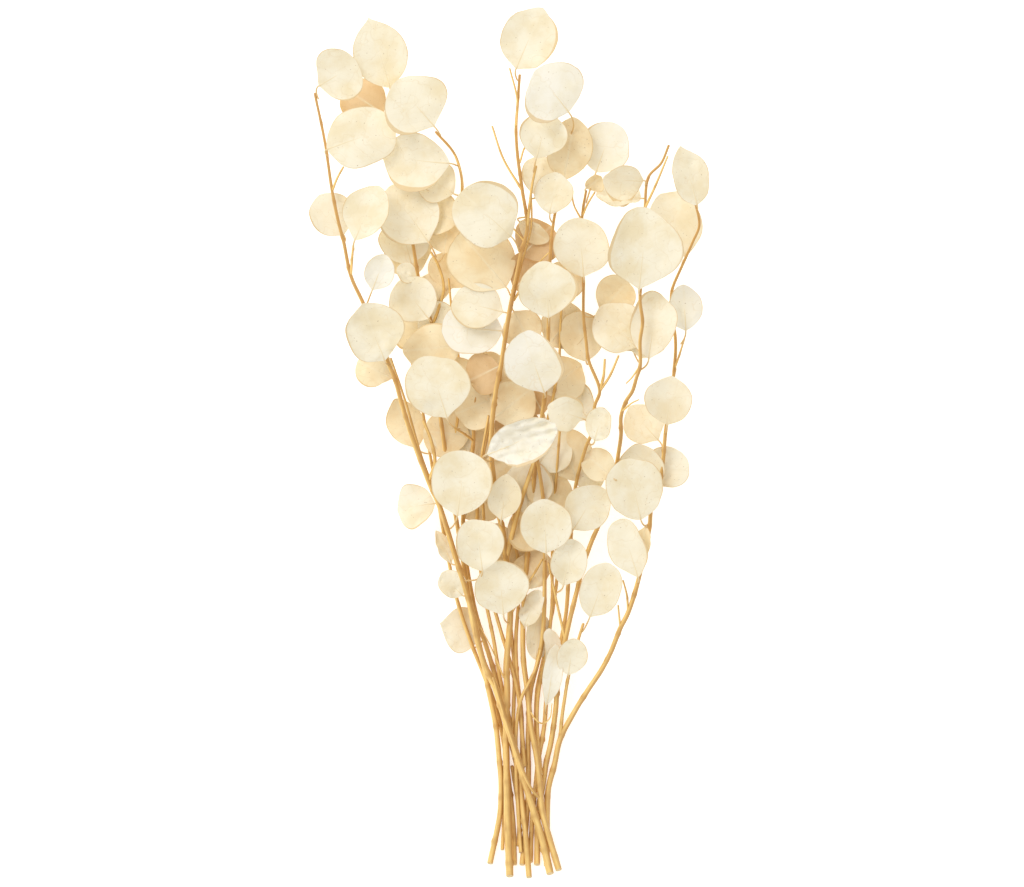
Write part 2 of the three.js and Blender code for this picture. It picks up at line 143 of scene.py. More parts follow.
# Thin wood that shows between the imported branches: branch it lies beside, foot radius, tip radius,
# route. Short twigs start on the wood they fork from.
spareWood = [
    ["c", 1.5, 1.3, [[-7, -329, 2], [-5.8, -305, 2], [-5.2, -280, 2], [-6.5, -262, 2]]],
    ["l", 1.8, 1.5, [[6.2, -326, 1.8], [6.5, -300, 1.8], [4.2, -283, 1.8], [0.8, -262, 1.7]]],
    ["h", 1.9, 1.0, [[9, -270, 2.2], [9, -240, 2.2], [8, -215, 3], [5, -190, 5], [4, -160, 8],
                     [6, -130, 12], [6, -100, 15], [2, -70, 20], [4, -40, 26], [8, 0, 32]]],
    ["c", 1.8, 1.0, [[11, -262, 6.5], [8.5, -230, 6.8], [6, -205, 7], [0, -180, 7.5], [-9, -150, 9.5],
                     [-17, -120, 15], [-20, -90, 22], [-22, -60, 28], [-24, -20, 36], [-18, 20, 46]]],
    ["d", 1.7, 1.0, [[3, -255, 7], [-1, -225, 5.6], [-9, -190, 6.4], [-14, -160, 9], [-22, -120, 12],
                     [-27, -80, 16], [-26, -40, 20], [-20, 0, 28], [-10, 40, 38], [-6, 80, 48]]],
    ["g", 1.7, 1.0, [[24, -268, 7.2], [21.5, -240, 5.2], [21, -215, 4.4], [24, -190, 6], [30, -160, 10],
                     [33, -130, 14], [33, -100, 18], [34, -60, 24], [37, -20, 32], [40, 20, 40]]],
    ["h", 1.6, 1.0, [[21, -252, 2], [20, -225, 2], [21, -200, 2.6], [26, -175, 5], [31, -150, 8],
                     [36, -120, 12], [38, -90, 16], [42, -50, 17], [44, -8, 16]]],
    ["h", 1.7, 1.3, [[8, -331, 5.5], [6, -300, 6], [4.5, -275, 7], [4, -239, 9], [5.6, -219, 12],
                     [8.8, -205.6, 14.5], [14, -195, 15], [19.5, -184, 13.5], [24, -168, 13.5]]],
    ["c", 1.6, 1.2, [[0.8, -238, 6.2], [1.8, -222, 5.6], [2.4, -205, 4.6], [2.6, -185, 5],
                     [0, -150, 7], [-4, -110, 12]]],
    ["a", 1.4, 0.8, [[-50, -24, 20], [-44, 10, 22], [-40, 50, 26], [-46, 90, 30], [-50, 130, 34]]],
    ["b", 1.4, 0.8, [[-46, -88, 34], [-58, -50, 35], [-72, -12, 42], [-84, 30, 47], [-96, 66, 52]]],
    ["e", 1.3, 0.8, [[20, -10, 34], [30, 20, 40], [38, 60, 46], [40, 100, 48], [44, 140, 50]]],
    ["c", 1.2, 0.7, [[-7, 62, 58], [-1, 100, 60], [8, 140, 62], [16, 170, 66], [16, 200, 66]]],
    ["c", 1.0, 0.6, [[2, 112, 62], [12, 128, 66], [22, 142, 70], [30, 150, 70]]],
    ["c", 0.8, 0.5, [[12, 158, 66], [0, 172, 70], [-10, 184, 78]]],
    ["c", 0.8, 0.5, [[7, 222, 68], [12, 236, 70], [24, 244, 76]]],
    ["k", 0.8, 0.5, [[57, 176, 50], [50, 190, 50], [49, 203, 50]]],
    ["g", 0.8, 0.5, [[103, 60, 70], [96, 50, 70], [92, 46, 70]]],
    ["g", 0.8, 0.5, [[89, 24, 67], [96, 30, 69], [102, 33, 72]]],
    ["e", 0.7, 0.4, [[16, -218, 12], [19, -223, 14], [25, -227, 15], [31, -223, 15], [33, -211, 14]]],
    ["d", 0.7, 0.4, [[-6, -190, 18], [-13, -172, 20], [-24, -150, 26]]],
    ["g", 0.7, 0.4, [[-46, 231, 51], [-40, 216, 50], [-38, 200, 47]]],
]

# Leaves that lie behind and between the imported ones: branch, blade base, blade tip, width,
# roll in degrees about the length, cup, bend, tone.
spareLeaves = [
    ["e", [42, 208, 62], [50, 257, 68], 38, 10, 3, 1, "tan"],
    ["e", [14, -60, 32], [12, -16, 26], 42, 0, 3, 1, "ivory"],
    ["d", [-40, 84, 34], [-74, 104, 26], 34, 0, 3, 1, "ivory"],
    ["d", [-26, 60, 36], [-52, 44, 28], 34, 0, 3, 1, "tan"],
    ["g", [104, 194, 56], [69, 196, 50], 38, 50, 3, 1, "ivory"],
    ["k", [60, 202, 56], [72, 212, 58], 16, 30, 2, 1, "tan"],
    ["d", [-46, 198, 44], [-72, 214, 40], 34, 10, 3, 1, "ivory"],
    ["d", [-43, 176, 38], [-70, 188, 32], 36, 0, 3, 1, "tan"],
    ["a", [-80, 142, 28], [-90, 178, 18], 42, 5, 3, 1, "ivory"],
    ["a", [-76, 134, 22], [-90, 164, 10], 38, 5, 3, 1, "tan"],
    ["a", [-76, 130, 38], [-92, 138, 42], 18, 20, 2, 1, "ivory"],
    ["a", [-66, 98, 40], [-90, 128, 40], 40, 0, 3, 1, "ivory"],
    ["a", [-56, 112, 30], [-68, 134, 24], 34, 10, 2, 1, "tan"],
    ["a", [-64, 84, 24], [-92, 98, 16], 40, 5, 3, 1, "tan"],
    ["a", [-54, 150, 34], [-50, 176, 26], 32, -10, 2, 1, "tan"],
    ["a", [-52, 122, 30], [-44, 150, 22], 40, 0, 2, 1, "tan"],
    ["b", [-95, 50, 48], [-123, 64, 40], 30, 5, 3, 1, "tan"],
    ["c", [-6, 103, 58], [-47, 113, 55], 37, 0, 3, 1, "ivory"],
    ["c", [-9, 60, 50], [-34, 48, 42], 34, 5, 2, 1, "brown"],
    ["d", [-26, 42, 34], [-8, 68, 26], 34, 0, 3, 1, "tan"],
    ["d", [-28, 24, 30], [-22, 66, 22], 38, 0, 3, 1, "tan"],
    ["d", [-32, 4, 24], [-70, 8, 16], 40, 5, 3, 1, "tan"],
    ["d", [-34, -10, 22], [-58, 20, 14], 36, 5, 3, 1, "ivory"],
    ["d", [-32, -14, 20], [-8, 12, 14], 36, -5, 3, 1, "tan"],
    ["c", [-14, 18, 42], [16, 42, 36], 40, 5, 3, 1, "tan"],
    ["e", [29, 76, 44], [54, 106, 34], 38, 0, 3, 1, "tan"],
    ["e", [29, 112, 50], [52, 140, 42], 34, 0, 3, 1, "tan"],
    ["e", [28, 38, 42], [56, 62, 36], 38, 0, 3, 1, "tan"],
    ["e", [26, 22, 32], [4, 62, 22], 40, 0, 3, 1, "brown"],
    ["k", [60, 64, 44], [52, 104, 38], 36, 10, 2, 1, "tan"],
    ["k", [72, 104, 37], [94, 128, 33], 34, 0, 3, 1, "tan"],
    ["g", [98, 72, 40], [84, 108, 34], 34, 0, 3, 1, "ivory"],
    ["g", [104, 66, 44], [112, 96, 38], 34, 0, 3, 1, "ivory"],
    ["c", [8, 148, 58], [32, 172, 50], 40, 0, 3, 1, "brown"],
    ["c", [2, 122, 56], [26, 142, 48], 40, 0, 3, 1, "brown"],
    ["c", [6, 176, 62], [30, 160, 58], 18, 30, 2, 1, "tan"],
    ["c", [2, 104, 54], [16, 78, 46], 34, 10, 2, 1, "tan"],
    ["e", [19, -22, 32], [44, 8, 24], 38, 5, 3, 1, "ivory"],
    ["k", [53, -32, 30], [40, 10, 22], 38, 0, 3, 1, "tan"],
    ["k", [56, -20, 34], [72, -36, 32], 24, 15, 2, 1, "ivory"],
    ["f", [108, -44, 26], [100, -2, 28], 38, 0, 3, 2, "ivory"],
    ["f", [108, -68, 30], [106, -98, 34], 20, 35, 3, 2, "tan"],
    ["e", [13, -106, 14], [2, -74, 10], 34, 0, 2, 1, "tan"],
    ["h", [26, -116, 20], [8, -92, 16], 36, 0, 3, 1, "tan"],
    ["h", [27, -84, 26], [4, -58, 20], 40, 0, 3, 1, "tan"],
    ["h", [26, -60, 30], [36, -26, 24], 38, 0, 3, 1, "tan"],
    ["c", [-4, -96, 20], [-24, -70, 14], 34, 0, 3, 1, "tan"],
    ["d", [-38, -62, 14], [-16, -34, 8], 40, 0, 3, 1, "tan"],
    ["b", [-23, -104, 41], [-28, -62, 45], 40, 5, 3, 1, "ivory"],
    ["b", [-39, -124, 28], [-56, -106, 30], 22, 10, 2, 1, "ivory"],
    ["b", [-48, -98, 30], [-61, -72, 34], 14, 30, 2, 1, "ivory"],
    ["h", [20, -176, 9], [22, -136, 13], 24, 25, 2, 1, "ivory"],
    ["e", [11, -150, 15], [24, -120, 22], 20, -30, 2, 1, "ivory"],
    ["k", [34, -190, 9], [30, -150, 16], 20, 40, 2, 1, "white"],
    ["f", [46, -188, 18], [50, -158, 24], 26, 15, 5, 1, "ivory"],
    ["k", [62, 18, 38], [40, 44, 28], 34, 0, 3, 1, "ivory"],
    ["e", [20, -8, 30], [-6, 24, 22], 38, 5, 3, 1, "brown"],
    ["g", [82, -30, 50], [60, -10, 38], 26, 0, 3, 1, "tan"],
    ["c", [20, 196, 66], [24, 228, 60], 28, 0, 3, 1, "ivory"],
    ["d", [-20, -34, 24], [2, -14, 19], 30, 0, 2, 1, "tan"],
    ["c", [-14, 34, 40], [-44, 22, 32], 40, 0, 3, 1, "tan"],
]


# A smooth line through the route's points (cubic between points, slopes from the neighbours),
# then points at equal distances along it.
def smoothRoute(route, step):
    spots = np.array(route, float)
    padded = np.vstack([2 * spots[0] - spots[1], spots, 2 * spots[-1] - spots[-2]])
    gaps = np.sqrt(np.linalg.norm(np.diff(padded, axis=0), axis=1))[:, None]
    before, after = gaps[:-1], gaps[1:]
    slopes = ((padded[1:-1] - padded[:-2]) / before - (padded[2:] - padded[:-2]) / (before + after)
              + (padded[2:] - padded[1:-1]) / after)
    share = np.linspace(0, 1, 40, endpoint=False)[None, :, None]
    width = gaps[1:-1][:, None, :]
    start, end = spots[:-1][:, None, :], spots[1:][:, None, :]
    slopeIn, slopeOut = slopes[:-1][:, None, :] * width, slopes[1:][:, None, :] * width
    dense = ((2 * share**3 - 3 * share**2 + 1) * start + (share**3 - 2 * share**2 + share) * slopeIn
             + (3 * share**2 - 2 * share**3) * end + (share**3 - share**2) * slopeOut)
    dense = np.vstack([dense.reshape(-1, 3), spots[-1]])
    return evenRoute(dense, step)


# The same line with its points moved to equal distances.
def evenRoute(line, step):
    distance = np.concatenate([[0], np.cumsum(np.linalg.norm(np.diff(line, axis=0), axis=1))])
    count = max(4, int(round(distance[-1] / step)))
    wanted = np.linspace(0, distance[-1], count + 1)
    return np.stack([np.interp(wanted, distance, line[:, axis]) for axis in range(3)], 1), wanted


# Two directions square to the line at each point, carried along it without twisting.
def carriedFrames(line):
    along = np.gradient(line, axis=0)
    along /= np.linalg.norm(along, axis=1)[:, None]
    across = np.zeros_like(line)
    last = np.array([1.0, 0, 0]) if abs(along[0, 0]) < 0.9 else np.array([0, 0, 1.0])
    for i, direction in enumerate(along):
        last = last - direction * (last @ direction)
        last /= np.linalg.norm(last)
        across[i] = last
    return along, across, np.cross(along, across)


# Quads between neighbouring rings, and a fan to one point at each end.
def ringFaces(rings, sides, firstPole, lastPole):
    ring, side = np.meshgrid(np.arange(rings - 1), np.arange(sides), indexing="ij")
    here, nextSide = ring * sides + side, ring * sides + (side + 1) % sides
    body = np.stack([here, nextSide, nextSide + sides, here + sides], -1).reshape(-1, 4)
    side = np.arange(sides)
    low = np.stack([np.full(sides, firstPole), (side + 1) % sides, side], -1)
    top = (rings - 1) * sides
    high = np.stack([np.full(sides, lastPole), top + side, top + (side + 1) % sides], -1)
    return body.tolist() + low.tolist() + high.tolist()


# A round profile carried along a line: radius is one number per ring, or rings by sides.
def roundSolid(line, radius, sides):
    along, across, up = carriedFrames(line)
    turn = np.linspace(0, 2 * math.pi, sides, endpoint=False)
    radius = np.broadcast_to(np.asarray(radius, float).reshape(len(line), -1), (len(line), sides))
    ringPoints = (line[:, None, :] + radius[..., None] * (np.cos(turn)[None, :, None] * across[:, None, :]
                  + np.sin(turn)[None, :, None] * up[:, None, :]))
    points = np.vstack([ringPoints.reshape(-1, 3), line[0], line[-1]])
    count = len(line) * sides
    return points, ringFaces(len(line), sides, count, count + 1)


# One mesh object from several shells. Marks are numbers kept at the points for the materials.
def makePiece(name, shells, slotMaterials, replaced=()):
    points = np.vstack([shell["points"] for shell in shells])
    faces, picked, start = [], [], 0
    for shell in shells:
        faces += [[corner + start for corner in face] for face in shell["faces"]]
        picked += shell["materials"]
        start += len(shell["points"])
    mesh = bpy.data.meshes.new(name)
    mesh.from_pydata(points, [], faces)
    mesh.polygons.foreach_set("use_smooth", np.ones(len(faces), bool))
    mesh.polygons.foreach_set("material_index", np.array(picked, np.int32))
    for mark in shells[0]["marks"]:
        values = np.vstack([shell["marks"][mark] for shell in shells]).astype(np.float32)
        mesh.attributes.new(mark, "FLOAT_VECTOR", "POINT").data.foreach_set("vector", values.ravel())
    for material in slotMaterials:
        mesh.materials.append(material)
    mesh.update()
    piece = bpy.data.objects.new(name, mesh)
    bpy.context.scene.collection.objects.link(piece)
    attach(piece, "root")
    if replaced:
        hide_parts(*replaced)
    return piece


# A new material with an empty node tree.
def newMaterial(name):
    material = bpy.data.materials.new(name)
    material.use_nodes = True
    material.node_tree.nodes.clear()
    return material


# Gives a socket a plain value, or joins it to another node's output.
def feed(tree, socket, value):
    if isinstance(value, bpy.types.NodeSocket):
        tree.links.new(value, socket)
    else:
        socket.default_value = value


# Adds a node and feeds its inputs, named with _ for a space, or i and the input's number.
def addNode(tree, kind, settings=(), **inputs):
    node = tree.nodes.new(kind)
    for setting, value in dict(settings).items():
        setattr(node, setting, value)
    for label, value in inputs.items():
        numbered = label[0] == "i" and label[1:].isdigit()
        feed(tree, node.inputs[int(label[1:]) if numbered else label.replace("_", " ")], value)
    return node


# One sum, product, sine or the like of two numbers.
def math2(tree, operation, first, second=0.0):
    node = addNode(tree, "ShaderNodeMath", {"operation": operation}, i0=first, i1=second)
    return node.outputs[0]


# first * (1 - share) + second * share, as a colour.
def blendColour(tree, share, first, second):
    node = addNode(tree, "ShaderNodeMix", {"data_type": "RGBA", "clamp_factor": True},
                   i0=share, i6=first, i7=second)
    return node.outputs[2]


# A number taken from one range to another, smoothly.
def rescale(tree, value, low, high, newLow=0.0, newHigh=1.0):
    node = addNode(tree, "ShaderNodeMapRange", {"interpolation_type": "SMOOTHSTEP"},
                   i0=value, i1=low, i2=high, i3=newLow, i4=newHigh)
    return node.outputs[0]


# Cloudy noise from 0 to 1; scale is waves per metre.
def noise(tree, place, scale, detail=3.0, rough=0.55):
    node = addNode(tree, "ShaderNodeTexNoise", {}, Vector=place, Scale=scale, Detail=detail,
                   Roughness=rough)
    return node.outputs["Fac"]


# A Principled surface with its bump, joined to the material's output.
def finishMaterial(tree, colour, roughness, height, bumpStrength, bumpDepth):
    bump = addNode(tree, "ShaderNodeBump", {}, Strength=bumpStrength, Distance=bumpDepth, Height=height)
    shader = addNode(tree, "ShaderNodeBsdfPrincipled", {}, Base_Color=colour, Roughness=roughness,
                     Normal=bump.outputs[0])
    addNode(tree, "ShaderNodeOutputMaterial", {}, Surface=shader.outputs[0])
    return shader


woodLook = {
    "light": (1.0, 0.705, 0.255, 1),    # honey bark colour, kept on the side not painted into shade
    "dark": (0.52, 0.26, 0.07, 1),      # grain and scars, and the painted shade on one flank
    "speck": (0.35, 0.18, 0.06, 1),
    "cut": (0.86, 0.70, 0.42, 1),       # cut face
    "cutGrain": (0.62, 0.42, 0.19, 1),
    "roughness": 0.48,
    "cutRoughness": 0.75,
}


# Bark: honey base, fine streaks along the wood, one flank darkened as painted shade, darker scars and tiny
# specks.
# woodSpot holds a place round the wood, a place along it, and how much of a scar is there.
def makeBark():
    material = newMaterial("honeyBark")
    tree = material.node_tree
    marks = addNode(tree, "ShaderNodeAttribute", {"attribute_name": "woodSpot"}).outputs["Vector"]
    split = addNode(tree, "ShaderNodeSeparateXYZ", {}, Vector=marks)
    turnPlace, alongPlace, scar = split.outputs
    place = addNode(tree, "ShaderNodeTexCoord").outputs["Object"]
    streakPlace = addNode(tree, "ShaderNodeCombineXYZ", {}, X=turnPlace, Y=alongPlace).outputs[0]
    streaks = noise(tree, streakPlace, 1.0, 4.0, 0.6)
    blotches = noise(tree, place, 55.0, 3.0)
    shade = math2(tree, "ADD", math2(tree, "MULTIPLY", rescale(tree, streaks, 0.38, 0.74), 0.48),
                  math2(tree, "MULTIPLY", rescale(tree, blotches, 0.4, 0.78), 0.32))
    colour = blendColour(tree, shade, woodLook["light"], woodLook["dark"])
    colour = blendColour(tree, math2(tree, "MULTIPLY", scar, 0.55), colour, woodLook["dark"])
    # painted shade: one side round the wood is darkened, as if it were turned away from the light
    paintedShadeFlank = rescale(tree, turnPlace, 0.0, 1.7)
    colour = blendColour(tree, math2(tree, "MULTIPLY", paintedShadeFlank, 0.75), colour, woodLook["dark"])
    specks = rescale(tree, noise(tree, place, 900.0, 2.0), 0.68, 0.78)
    colour = blendColour(tree, math2(tree, "MULTIPLY", specks, 0.4), colour, woodLook["speck"])
    height = math2(tree, "ADD", streaks, math2(tree, "MULTIPLY", blotches, 0.4))
    finishMaterial(tree, colour, woodLook["roughness"], height, 0.5, 0.0004)
    return material


# Cut face: pale wood with fine darker grain.
def makeCutWood():
    material = newMaterial("cutWood")
    tree = material.node_tree
    place = addNode(tree, "ShaderNodeTexCoord").outputs["Object"]
    grain = noise(tree, place, 1400.0, 3.0)
    colour = blendColour(tree, rescale(tree, grain, 0.35, 0.7), woodLook["cut"], woodLook["cutGrain"])
    finishMaterial(tree, colour, woodLook["cutRoughness"], grain, 0.4, 0.0003)
    return material


# The first four are the tones, each with its light and its deeper colour.
leafLook = {
    "white": [(0.97, 0.935, 0.83, 1), (0.92, 0.86, 0.69, 1)],
    "ivory": [(0.96, 0.90, 0.73, 1), (0.89, 0.78, 0.54, 1)],
    "tan": [(0.94, 0.82, 0.57, 1), (0.87, 0.69, 0.41, 1)],
    "brown": [(0.80, 0.58, 0.33, 1), (0.69, 0.45, 0.21, 1)],
    "midrib": (0.95, 0.88, 0.70, 1),
    "rim": (0.76, 0.54, 0.25, 1),
    "speck": (0.42, 0.30, 0.17, 1),
    "roughness": 0.58,
    "shine": 0.35,
    "stalkAtWood": [(0.80, 0.56, 0.26, 1), (0.66, 0.42, 0.17, 1)],
    "stalkAtBlade": [(0.93, 0.84, 0.62, 1), (0.86, 0.72, 0.46, 1)],
    "stalkRoughness": 0.55,
}


# Dry leaf: soft cloudy mottling, faint side veins that run out from the midrib, a thin tan rim
# and a scatter of tiny specks; where a rim curls up it takes the rim's tan as painted shade. bladeSpot
# holds millimetres across and along, and 0 to 1 to the rim, more on a curled rim.
def makeLeaf(tone):
    material = newMaterial(tone + "Leaf")
    tree = material.node_tree
    marks = addNode(tree, "ShaderNodeAttribute", {"attribute_name": "bladeSpot"}).outputs["Vector"]
    across, along, rim = addNode(tree, "ShaderNodeSeparateXYZ", {}, Vector=marks).outputs
    place = addNode(tree, "ShaderNodeTexCoord").outputs["Object"]
    clouds = noise(tree, place, 38.0, 4.0, 0.6)
    fine = noise(tree, place, 330.0, 3.0, 0.6)
    light, deep = leafLook[tone]
    colour = blendColour(tree, rescale(tree, clouds, 0.36, 0.7), light, deep)
    reach = math2(tree, "ABSOLUTE", across)
    wobble = math2(tree, "MULTIPLY", math2(tree, "SUBTRACT", clouds, 0.5), 9.0)
    phase = math2(tree, "ADD", math2(tree, "SUBTRACT", along, math2(tree, "MULTIPLY", reach, 0.75)), wobble)
    wave = math2(tree, "ABSOLUTE", math2(tree, "SINE", math2(tree, "MULTIPLY", phase, 0.62)))
    vein = rescale(tree, wave, 0.0, 0.16, 1.0, 0.0)
    veinFade = math2(tree, "MULTIPLY", vein, rescale(tree, rim, 0.55, 0.95, 1.0, 0.0))
    midrib = rescale(tree, reach, 0.25, 1.6, 1.0, 0.0)
    colour = blendColour(tree, math2(tree, "MULTIPLY", veinFade, 0.22), colour, deep)
    colour = blendColour(tree, math2(tree, "MULTIPLY", midrib, 0.25), colour, leafLook["midrib"])
    # the thin tan rim, spread over a curled rim as painted shade
    rimTanAndCurlShade = rescale(tree, math2(tree, "ADD", rim, math2(tree, "MULTIPLY", fine, 0.03)), 0.965, 1.012)
    colour = blendColour(tree, math2(tree, "MULTIPLY", rimTanAndCurlShade, 0.7), colour, leafLook["rim"])
    wander = math2(tree, "ABSOLUTE", math2(tree, "SUBTRACT", noise(tree, place, 62.0, 2.0, 0.4), 0.5))
    wrinkle = rescale(tree, wander, 0.0, 0.012, 1.0, 0.0)
    colour = blendColour(tree, math2(tree, "MULTIPLY", wrinkle, 0.16), colour, leafLook["rim"])
    specks = rescale(tree, noise(tree, place, 620.0, 1.0), 0.725, 0.78)
    colour = blendColour(tree, math2(tree, "MULTIPLY", specks, 0.55), colour, leafLook["speck"])
    height = math2(tree, "ADD", math2(tree, "MULTIPLY", fine, 0.5), math2(tree, "MULTIPLY", veinFade, 0.35))
    height = math2(tree, "ADD", height, math2(tree, "MULTIPLY", wrinkle, -0.5))
    shader = finishMaterial(tree, colour, leafLook["roughness"], height, 0.45, 0.0004)
    shader.inputs["Specular IOR Level"].default_value = leafLook["shine"]
    return material


# Leaf stalk and midrib: honey at the wood, fading to ivory on the blade.
def makeStalk():
    material = newMaterial("leafStalk")
    tree = material.node_tree
    marks = addNode(tree, "ShaderNodeAttribute", {"attribute_name": "bladeSpot"}).outputs["Vector"]
    along = addNode(tree, "ShaderNodeSeparateXYZ", {}, Vector=marks).outputs[1]
    place = addNode(tree, "ShaderNodeTexCoord").outputs["Object"]
    grain = noise(tree, place, 500.0, 3.0)
    honey = blendColour(tree, grain, *leafLook["stalkAtWood"])
    pale = blendColour(tree, grain, *leafLook["stalkAtBlade"])
    colour = blendColour(tree, rescale(tree, along, -6.0, 5.0), honey, pale)
    finishMaterial(tree, colour, leafLook["stalkRoughness"], grain, 0.4, 0.0002)
    return material


bark, cutWood, stalkSkin = makeBark(), makeCutWood(), makeStalk()
leafSkins = {tone: makeLeaf(tone) for tone in ("white", "ivory", "tan", "brown")}
print("materials ready")


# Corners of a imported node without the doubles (the same to 0.01 mm), and its triangles.
def nodeShape(node):
    mesh = frame["nodes"][node].data
    points = np.zeros(len(mesh.vertices) * 3)
    mesh.vertices.foreach_get("co", points)
    points = points.reshape(-1, 3)
    rounded = np.round(points * 1e5).astype(int)
    first, index = np.unique(rounded, axis=0, return_index=True, return_inverse=True)[1:]
    corners = np.zeros(len(mesh.loops), int)
    mesh.loops.foreach_get("vertex_index", corners)
    return points[first], index.ravel()[corners].reshape(-1, 3)


# Middle of a branch's packed cut end: the mean of its six lowest corners in Y.
def cutEnd(node):
    points = nodeShape(node)[0]
    return points[np.argsort(points[:, 1])[:6]].mean(0)


# How far the drawing is moved to meet each packed branch: its cut end less the route's first point.
shifts = {key: cutEnd("branch_" + key) - np.array(parts[0][2][0]) * mm
          for key, parts in branches.items()}


# Radius along a piece of wood: a taper, a soft swelling and a bud at each leaf scar, and
# shallow ridges that wander round it.
def woodRadius(distance, foot, tip, sides):
    length = distance[-1]
    radius = foot + (tip - foot) * distance / length
    turn = np.linspace(0, 2 * math.pi, sides, endpoint=False)
    scars = np.arange(wood["knotGap"] * rng.uniform(0.3, 0.8), length - 3, wood["knotGap"])
    scars = scars + rng.uniform(-6, 6, len(scars))
    sizes = rng.uniform(0.4, 1.0, len(scars))
    turns = rng.uniform(0, 2 * math.pi, len(scars))
    apart = distance[:, None] - scars[None, :]
    swell = (sizes * np.exp(-(apart / wood["scarLength"]) ** 2)).sum(1)
    off = np.angle(np.exp(1j * (turn[None, :] - turns[:, None])))
    bud = np.einsum("ik,kj->ij", sizes * np.exp(-(apart / wood["budLength"]) ** 2),
                    np.exp(-(off / wood["budTurn"]) ** 2))
    wander = 2.2 * np.sin(distance / 41.0 + rng.uniform(0, 6))[:, None]
    ridge = (np.sin(3 * turn[None, :] + wander) + 0.6 * np.sin(5 * turn[None, :] - 1.7 * wander + 1)
             + 0.5 * np.sin(distance / 3.7)[:, None] * np.sin(2 * turn[None, :] + 2))
    grown = radius[:, None] * (1 + wood["knotSwell"] * swell[:, None] + wood["budHeight"] * bud
                               + wood["ridge"] * ridge)
    return grown, np.clip(swell, 0, 1)


# One stem or twig: its route, a slanting cut end with a small bevel, and a domed tip, whose radius
# falls as the square root of 1 - share squared.
def woodShells(route, foot, tip, shift):
    line, distance = smoothRoute(route, wood["step"])
    radius, scar = woodRadius(distance, foot, tip, wood["sides"])
    sides = wood["sides"]
    bevel = np.array([0.0, 0.35])
    closing = np.array([0.35, 0.7, 0.9])
    along = np.gradient(line, axis=0)
    along /= np.linalg.norm(along, axis=1)[:, None]
    start = line[0] + along[0] * bevel[:, None] * 0.6
    radiusStart = radius[0] * np.array([[0.93], [1.0]])
    end = line[-1] + along[-1] * closing[:, None] * tip * 0.8
    radiusEnd = radius[-1] * np.sqrt(1 - closing**2)[:, None]
    keep = distance > 0.5
    line = np.vstack([start, line[keep], end])
    radius = np.vstack([radiusStart, radius[keep], radiusEnd])
    scar = np.concatenate([[0, 0], scar[keep], [0.5] * 3])
    distance = np.concatenate([[0, 0.2], distance[keep], distance[-1] + closing])
    points, faces = roundSolid(line * mm, radius * mm, sides)
    atCut = np.arange(len(points)) < 2 * sides
    slant = np.where(atCut, wood["cutSlant"] * (points[:, 2] - line[0, 2] * mm), 0)
    points = points + slant[:, None] * along[0]
    turn = np.linspace(0, 2 * math.pi, sides, endpoint=False)
    marks = np.zeros((len(line), sides, 3))
    marks[..., 0] = np.cos(turn)[None, :] * 1.7 + distance[:, None] * 0.004
    marks[..., 1] = distance[:, None] * 0.045 + np.sin(turn)[None, :] * 1.7
    marks[..., 2] = scar[:, None]
    marks = np.vstack([marks.reshape(-1, 3), marks[0].mean(0), marks[-1].mean(0)])
    materials = [0] * (len(faces) - 2 * sides) + [1] * sides + [0] * sides
    return {"points": points + shift, "faces": faces, "marks": {"woodSpot": marks},
            "materials": materials}


twigTaper = 0.75    # a twig's tip radius as a share of its foot radius
woodLines = {}      # points along each branch's wood, where leaves without a node are joined
for key, parts in branches.items():
    shells, lines = [], []
    for i, part in enumerate(parts):
        foot, tip, route = part if i == 0 else (part[0], part[0] * twigTaper, part[1])
        shells.append(woodShells(route, foot, tip, shifts[key]))
        line = smoothRoute(route, 2.0)[0]
        lines.append(line * mm + shifts[key])
    woodLines[key] = np.vstack(lines)
    makePiece("wood_" + key, shells, [bark, cutWood], ["branch_" + key])
for i, (key, foot, tip, route) in enumerate(spareWood):
    makePiece(f"spare_wood_{i + 1}", [woodShells(route, foot, tip, shifts[key])], [bark, cutWood])
print("wood ready")


leafCut = 0.5568 * mm**2    # twice the area of an outer triangle of a stalk's cut face


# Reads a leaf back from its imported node. Its rings of six corners are found by walking the mesh
# from the cut face of the stalk, known by the size of its three outer triangles.
def readLeaf(node):
    points, triangles = nodeShape(node)
    edges = points[triangles]
    sizes = np.linalg.norm(np.cross(edges[:, 1] - edges[:, 0], edges[:, 2] - edges[:, 0]), axis=1)
    near = np.zeros((len(points), len(points)), bool)
    for first, second in ((0, 1), (1, 2), (2, 0)):
        near[triangles[:, first], triangles[:, second]] = True
        near[triangles[:, second], triangles[:, first]] = True
    ring = np.zeros(len(points), bool)
    ring[triangles[np.argsort(np.abs(sizes - leafCut))[:3]].ravel()] = True
    seen, rings = ring.copy(), [points[ring]]
    while not seen.all():
        ring = near[ring].any(0) & ~seen
        seen |= ring
        rings.append(points[ring])
    if [len(corners) for corners in rings] != [6] * 9:
        raise ValueError(node + " is not nine rings of six corners")
    base, middle, tip = rings[2].mean(0), rings[5], rings[8].mean(0)
    axis = (tip - base) / np.linalg.norm(tip - base)
    spread = middle - middle.mean(0)
    side = spread[np.argmax(np.linalg.norm(spread, axis=1))]
    side = side - axis * (side @ axis)
    side /= np.linalg.norm(side)
    order = np.argsort(middle @ side)
    rimLow, midrib, rimHigh = (middle[order[i:i + 2]].mean(0) for i in (0, 2, 4))
    normal = np.cross(side, axis)
    if normal[2] < 0:
        side, normal = -side, -normal
    ends = []
    for corners in (rings[2], rings[8]):
        order = np.argsort(corners @ side)
        ends.append(corners[order[2:4]].mean(0))
    base, tip = ends
    return {
        "stalk": np.array([rings[0].mean(0), rings[1].mean(0), base]),
        "base": base, "tip": tip, "side": side, "normal": normal,
        "width": np.linalg.norm(rimHigh - rimLow),
        "cup": ((rimLow + rimHigh) / 2 - midrib) @ normal,
        "bend": (midrib - (base + tip) / 2) @ normal,
    }


